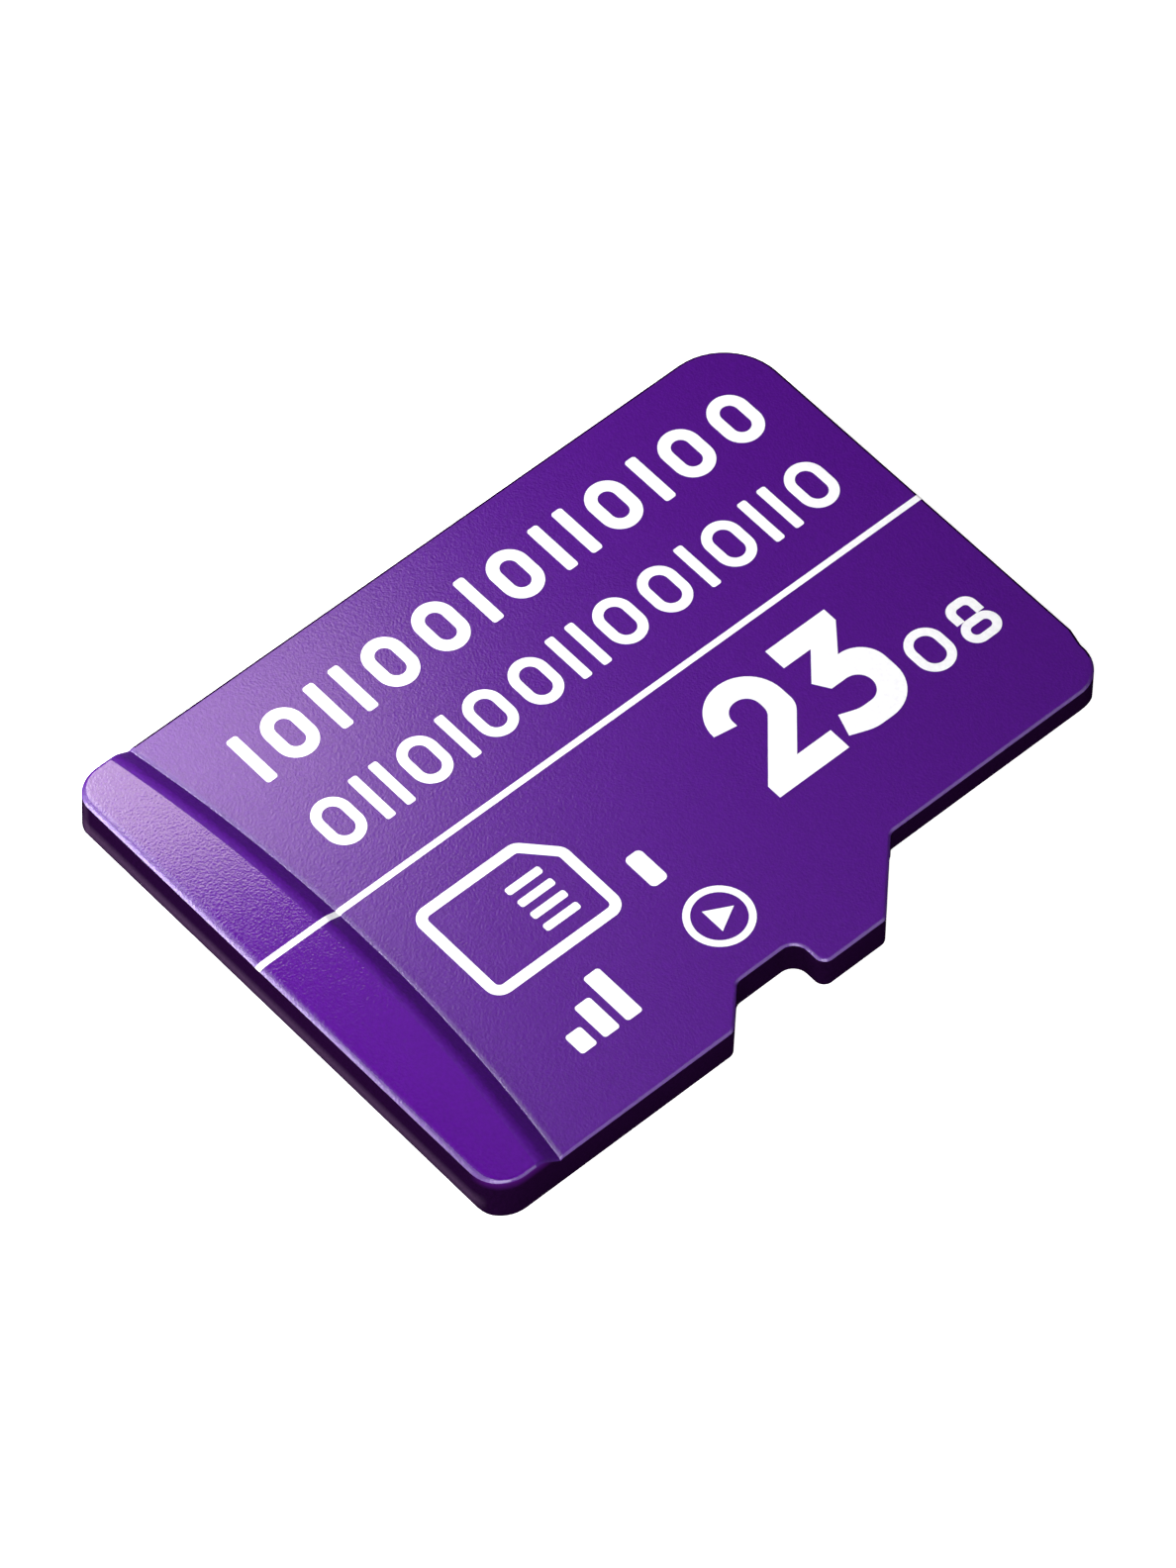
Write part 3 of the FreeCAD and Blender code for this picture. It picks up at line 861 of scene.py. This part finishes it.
PLUM_DARK = (0.006, 0.0009, 0.0105)
PLUM_LIGHT = (0.009, 0.0014, 0.016)
# Painted reflection: a lighter greyish tone low on the rear wall and up its left end, standing in for the
# floor and lamps reflected in the rounded lower edge and corner.
REFLECTION_PAINT_DARK = (0.027, 0.0125, 0.033)
REFLECTION_PAINT_LIGHT = (0.036, 0.0175, 0.044)
REFLECTION_PAINT_REAR = 0.09
REFLECTION_PAINT_BAND = [(0.08, 0.0), (0.2, 0.7), (0.3, 1.0), (0.52, 0.0)]
REFLECTION_PAINT_CORNER = 0.4, 0.66
REFLECTION_PAINT_STRIP = [(0.0, 0.0), (0.5, 0.6), (1.0, 0.0)]
SPRAY_COLOUR = (0.065, 0.006, 0.14, 1.0)
SPRAY_DROP = 0.25
SPRAY_MOST = 0.8
WALL_TONE_GRAIN = 0.05
WALL_GRAIN = 0.017
WALL_DEPTH = 0.003
WALL_ROUGH = 0.5, 0.62


def painted_reflection_share(tree, along):
    """Share of painted reflection: a lighter tone low on the rear wall, and up the wall's left end."""
    height = ranged(tree, along["Z"], 0.0, LIP_TOP, 0.0, 1.0)
    start, end = REFLECTION_PAINT_CORNER
    corner = ranged(tree, along["X"], LEFT + start, LEFT + end, 0.0, 1.0)
    painted_reflection_amount = total(tree, greys(tree, height, REFLECTION_PAINT_BAND), greys(tree, corner, REFLECTION_PAINT_STRIP))
    rear = ranged(tree, along["Y"], REAR, REAR + REFLECTION_PAINT_REAR, 1.0, 0.0)
    return part_of(tree, rear, painted_reflection_amount)


def spray_share(tree, along):
    """How much lacquer spray lies below the lip's rim on the notched side."""
    spray = ranged(tree, along["Z"], LIP_TOP - SPRAY_DROP, LIP_TOP, 0.0, SPRAY_MOST)
    right = ranged(tree, along["X"], RIGHT - CORNER_ROUND, RIGHT - CORNER_ROUND / 2, 0.0, 1.0)
    return part_of(tree, right, spray)


def wall_resin():
    """Dark plum resin of the sides, matt, with a painted reflection low on the rear wall and up its left end,
    and some lacquer spray.
    """
    material, tree, shader = new_finish("wall_resin")
    noise = grain(tree, WALL_TONE_GRAIN, FINE_DETAIL)
    plum = speckle(tree, noise, PLUM_DARK, PLUM_LIGHT)
    painted_reflection = speckle(tree, noise, REFLECTION_PAINT_DARK, REFLECTION_PAINT_LIGHT)
    along = coordinates(tree)
    # Painted reflection mixed into the plum resin where floor and lamps would reflect.
    resin = tinted(tree, painted_reflection_share(tree, along), plum, painted_reflection)
    colour = tinted(tree, spray_share(tree, along), resin, SPRAY_COLOUR)
    dress(tree, shader, colour, between(tree, noise, *WALL_ROUGH))
    shader.inputs["Specular IOR Level"].default_value = 0.0
    relief(tree, shader, grain(tree, WALL_GRAIN), WALL_DEPTH, SOFT_RELIEF)
    return material


MASK_DARK = (0.006, 0.006, 0.007)
MASK_LIGHT = (0.012, 0.012, 0.014)
MASK_GRAIN = 0.08
MASK_ROUGH = 0.36, 0.48
WEAVE_PITCH = 0.4
WEAVE_DEPTH = 0.0035
WAVE_LENGTH = math.pi / 10


def solder_mask():
    """Black mask with a fine grain, over a glass weave that shows faintly through it."""
    material, tree, shader = new_finish("solder_mask")
    noise = grain(tree, MASK_GRAIN, FINE_DETAIL)
    dress(tree, shader, speckle(tree, noise, MASK_DARK, MASK_LIGHT), between(tree, noise, *MASK_ROUGH))
    scale = WAVE_LENGTH / (WEAVE_PITCH * MM)
    threads = []
    for way in ("X", "Y"):
        wave = add_node(tree, "ShaderNodeTexWave", Vector=card_place(tree), Scale=scale)
        wave.bands_direction = way
        threads.append(wave.outputs["Fac"])
    relief(tree, shader, total(tree, *threads), WEAVE_DEPTH, SOFT_RELIEF)
    return material


# Plain finishes: name, grain size, dark and light tone, range of roughness, depth of relief and metal.
GOLD = (0.72, 0.46, 0.16), (0.93, 0.66, 0.28)
FILM = (0.03, 0.028, 0.025), (0.05, 0.046, 0.04)
POLISHED = 0.2, 0.3
WHITE_INK = "white_ink", 0.08, (0.84, 0.83, 0.86), (0.92, 0.92, 0.93), (0.42, 0.5), 0.001
CONTACT_GOLD = "contact_gold", 0.06, *GOLD, (0.22, 0.34), 0.001, 1.0
INNER_FINISHES = {
    "flash_die": ("die_silicon", 0.3, (0.11, 0.115, 0.13), (0.17, 0.175, 0.19), POLISHED, 0.001, 0.6),
    "controller_die": ("controller_silicon", 0.2, (0.1, 0.11, 0.14), (0.15, 0.16, 0.2), POLISHED, 0.001, 0.6),
    "flash_film": ("die_film", 0.1, *FILM, (0.6, 0.7), 0.002, 0.0),
    "controller_film": ("controller_film", 0.1, *FILM, (0.6, 0.7), 0.002, 0.0),
    "capacitor": ("chip_ceramic", 0.05, (0.3, 0.22, 0.15), (0.42, 0.32, 0.22), (0.45, 0.6), 0.002, 0.0),
    "flash_wire": ("bond_gold", 0.05, *GOLD, POLISHED, 0.0005, 1.0),
    "controller_wire": ("controller_gold", 0.05, *GOLD, POLISHED, 0.0005, 1.0),
}


def dress_inner_nodes():
    """Gives each carried node its finish; these pieces lie closed inside the moulding."""
    for prefix, settings in INNER_FINISHES.items():
        finish = plain_finish(*settings)
        for name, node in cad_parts.items():
            if name.startswith(prefix):
                node.data.materials.clear()
                node.data.materials.append(finish)


# Studio: the photograph's camera, soft panels, a white room and a pale floor.
CAMERA_TURN = math.radians(48.55)
CAMERA_RISE = math.radians(54.37)
CAMERA_DISTANCE = 160.5
CAMERA_ASIDE = -0.4853
CAMERA_LIFT = -0.1137
FOCAL_PIXELS = 9611.0
PICTURE_HEIGHT = 1584
SENSOR = 36.0


def direction(turn, rise):
    """The way from the card at a turn from the rear towards the right, and a rise from level."""
    return Vector((math.sin(turn) * math.cos(rise), -math.cos(turn) * math.cos(rise), math.sin(rise)))


TO_CAMERA = direction(CAMERA_TURN, CAMERA_RISE)


def camera():
    right = Vector((math.cos(CAMERA_TURN), math.sin(CAMERA_TURN), 0.0))
    up = TO_CAMERA.cross(right)
    data = bpy.data.cameras.new("camera")
    data.sensor_width = SENSOR
    data.lens = FOCAL_PIXELS / PICTURE_HEIGHT * SENSOR
    data.clip_start = MM
    eye = in_scene("camera", data)
    eye.location = (right * CAMERA_ASIDE + up * CAMERA_LIFT + TO_CAMERA * CAMERA_DISTANCE) * MM
    eye.rotation_mode = "QUATERNION"
    eye.rotation_quaternion = (-TO_CAMERA).to_track_quat("-Z", "Y")
    bpy.context.scene.camera = eye


# Panels: name, gloss or not, radiance, width and height, point looked at, way and distance to the panel.
MIRRORED = (-TO_CAMERA.x, -TO_CAMERA.y, TO_CAMERA.z)
PANELS = [
    ("key", False, 6.3, (30.0, 30.0), (-2.0, -3.0, 0.8), (-0.765, -0.694, 1.0), 24.0),
    ("front", False, 5.0, (40.0, 40.0), (2.0, -3.0, 0.5), (0.55, -0.6, 0.6), 60.0),
    ("side", True, 2.8, (44.0, 44.0), (5.5, -5.0, 0.7), (0.61, 0.386, 0.69), 40.0),
    ("rim", True, 14.0, (42.0, 36.0), (5.0, -7.0, 1.0), (0.42, -0.46, 0.78), 60.0),
    ("glow", True, 26.0, (11.0, 14.0), (-5.5, -7.0, 1.0), (-0.437, -0.67, 0.6), 20.0),
    ("bridge", True, 6.5, (5.4, 6.9), (-6.5, -7.3, 1.0), (-0.437, 0.116, 0.892), 13.0),
    ("under", False, 5.0, (40.0, 40.0), (0.0, 0.0, 0.0), (-0.4, 0.6, -1.0), 60.0),
    ("pool", True, 0.8, (240.0, 240.0), (0.0, 0.0, 0.0), (0.0, 0.0, -1.0), 60.0),
    ("sheen", True, 8.7, (10.83, 4.84), (-6.34, -7.29, 1.0), MIRRORED, 12.79),
    ("veil", True, 0.3, (13.0, 1.9), (0.0, -6.7, 1.0), MIRRORED, 10.0),
]
PANEL_ROLLS = {"sheen": 0.2302, "veil": -0.7435}
PANEL_COLOURS = {"sheen": (1.0, 0.84, 0.73)}


def panel(name, gloss, radiance, size, aim, way, distance):
    """A soft rectangular light that gives only gloss or only matt light."""
    data = bpy.data.lights.new(name, "AREA")
    data.shape = "RECTANGLE"
    data.size = size[0] * MM
    data.size_y = size[1] * MM
    data.energy = radiance * math.pi * data.size * data.size_y
    data.color = PANEL_COLOURS.get(name, (1.0, 1.0, 1.0))
    lamp = in_scene(name, data)
    way = Vector(way).normalized()
    roll = Quaternion((0.0, 0.0, 1.0), PANEL_ROLLS.get(name, 0.0))
    lamp.location = (Vector(aim) + way * distance) * MM
    lamp.rotation_mode = "QUATERNION"
    lamp.rotation_quaternion = way.to_track_quat("Z", "Y") @ roll
    lamp.visible_camera = False
    lamp.visible_diffuse = not gloss
    lamp.visible_glossy = gloss


ROOM_LIGHT = 0.01
ROOM_SEEN = 1.0
WHITE = (1.0, 1.0, 1.0, 1.0)


def white_room():
    """A room that is white to look at and gives little light."""
    world = bpy.data.worlds.new("studio")
    world.use_nodes = True
    tree = world.node_tree
    seen = add_node(tree, "ShaderNodeLightPath").outputs["Is Camera Ray"]
    strength = mapped(tree, seen, 0.0, 1.0, ROOM_LIGHT, ROOM_SEEN)
    tree.links.new(strength, tree.nodes["Background"].inputs["Strength"])
    tree.nodes["Background"].inputs["Color"].default_value = WHITE
    bpy.context.scene.world = world


FLOOR_REACH = 400.0
FLOOR_DROP = 0.005
FLOOR_SHADE = (0.85, 0.85, 0.85, 1.0)
FLOOR_ROUGH = 0.9
FLOOR_SHINE = 0.9


def floor_paper():
    """Pale paper that shines enough to stay near white, and is clear from below."""
    material, tree, shader = new_finish("floor_paper")
    shader.inputs["Base Color"].default_value = FLOOR_SHADE
    shader.inputs["Roughness"].default_value = FLOOR_ROUGH
    shader.inputs["Emission Color"].default_value = WHITE
    shader.inputs["Emission Strength"].default_value = FLOOR_SHINE
    below = add_node(tree, "ShaderNodeNewGeometry").outputs["Backfacing"]
    clear = add_node(tree, "ShaderNodeBsdfTransparent").outputs["BSDF"]
    mix = add_node(tree, "ShaderNodeMixShader", Fac=below)
    tree.links.new(shader.outputs["BSDF"], mix.inputs[1])
    tree.links.new(clear, mix.inputs[2])
    tree.links.new(mix.outputs["Shader"], tree.nodes["Material Output"].inputs["Surface"])
    material.cycles.emission_sampling = "NONE"
    return material


def floor():
    solid = Solid()
    corners = [(-1, -1), (1, -1), (1, 1), (-1, 1)]
    solid.faces.append([solid.add(Vector(corner) * FLOOR_REACH, -FLOOR_DROP) for corner in corners])
    sheet = in_scene("floor", solid.mesh("floor", floor_paper()))
    sheet.visible_glossy = False
    sheet.visible_shadow = False


def main():
    bpy.context.scene.view_settings.view_transform = "Standard"
    ink = plain_finish(*WHITE_INK)
    resin = wall_resin()
    moulded_body(face_lacquer(), resin, slope_lacquer())
    substrate_board(solder_mask(), resin)
    contacts(plain_finish(*CONTACT_GOLD))
    bit_row("print_head_row", ink, *HEAD_ROW)
    bit_row("print_sub_row", ink, *SUB_ROW)
    stripe(ink)
    numeral(ink)
    small_numeral(ink)
    card_sign(ink)
    ring_sign(ink)
    level_bars(ink)
    dress_inner_nodes()
    camera()
    for settings in PANELS:
        panel(*settings)
    white_room()
    floor()


main()
